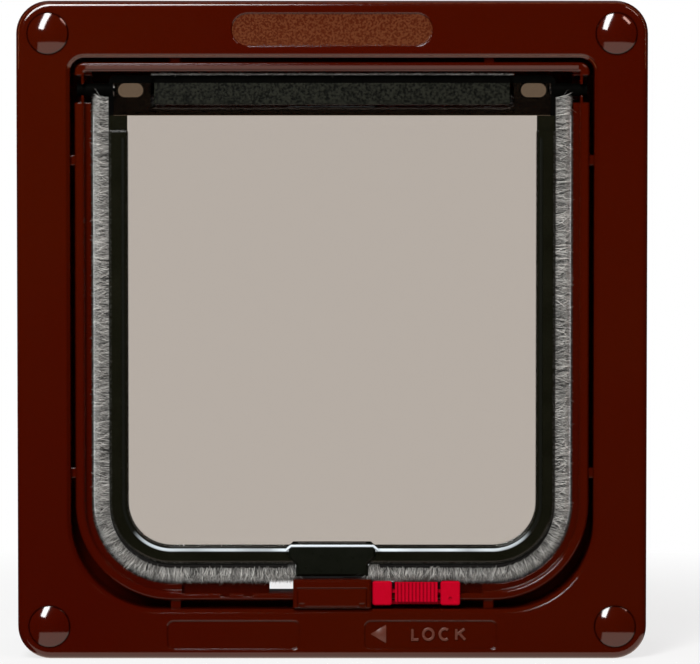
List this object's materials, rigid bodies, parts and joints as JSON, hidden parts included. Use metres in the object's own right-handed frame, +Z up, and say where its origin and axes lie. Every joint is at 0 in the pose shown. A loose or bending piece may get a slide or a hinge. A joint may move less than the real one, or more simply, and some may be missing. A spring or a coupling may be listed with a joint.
{
  "type": "cat flap",
  "caption": "Magnetic cat flap for a door: two clamped brown frames, a tunnel, a smoked swinging flap edged with grey pile and a red lock slider.",
  "frame": {"origin": "middle of the base, on the surface that both frames stand on", "axes": "+X to the right seen from the room, +Y through the door away from the room, +Z up"},
  "size_m": [0.192, 0.06, 0.2006],
  "materials": {
    "brown_plastic": "deep brown, moulded, glossy",
    "smoked_plastic": "clear smoked, polished",
    "black_plastic": "black, moulded, satin",
    "red_plastic": "red, moulded, satin",
    "grey_pile": "short upright fibres",
    "magnet": "ferrite, sintered, dull",
    "steel": "zinc plated"
  },
  "bodies": {
    "base": {"front_frame": "brown_plastic", "rear_frame": "brown_plastic", "flap_ring": "brown_plastic", "magnet_cover": "brown_plastic", "frame_magnet": "magnet", "screw_top_left": "steel", "screw_top_right": "steel", "screw_bottom_left": "steel", "screw_bottom_right": "steel", "screw_cap_top_left": "brown_plastic", "screw_cap_top_right": "brown_plastic", "screw_cap_bottom_left": "brown_plastic", "screw_cap_bottom_right": "brown_plastic"},
    "flap": {"flap": "smoked_plastic", "magnet_holder": "black_plastic", "flap_magnet": "magnet", "flap_magnet_cap": "black_plastic", "pile_left": "grey_pile", "pile_right": "grey_pile", "pile_top": "grey_pile"},
    "slider": {"lock_slider": "red_plastic"}
  },
  "joints": [
    {"name": "flap_swing", "type": "hinge", "parent": "base", "child": "flap", "pos_m": [0, -0.022, 0.1736], "axis": [1, 0, 0], "range_deg": [-85, 70]},
    {"name": "lock_slide", "type": "slide", "parent": "base", "child": "slider", "axis": [1, 0, 0], "range_m": [-0.007, 0]}
  ]
}
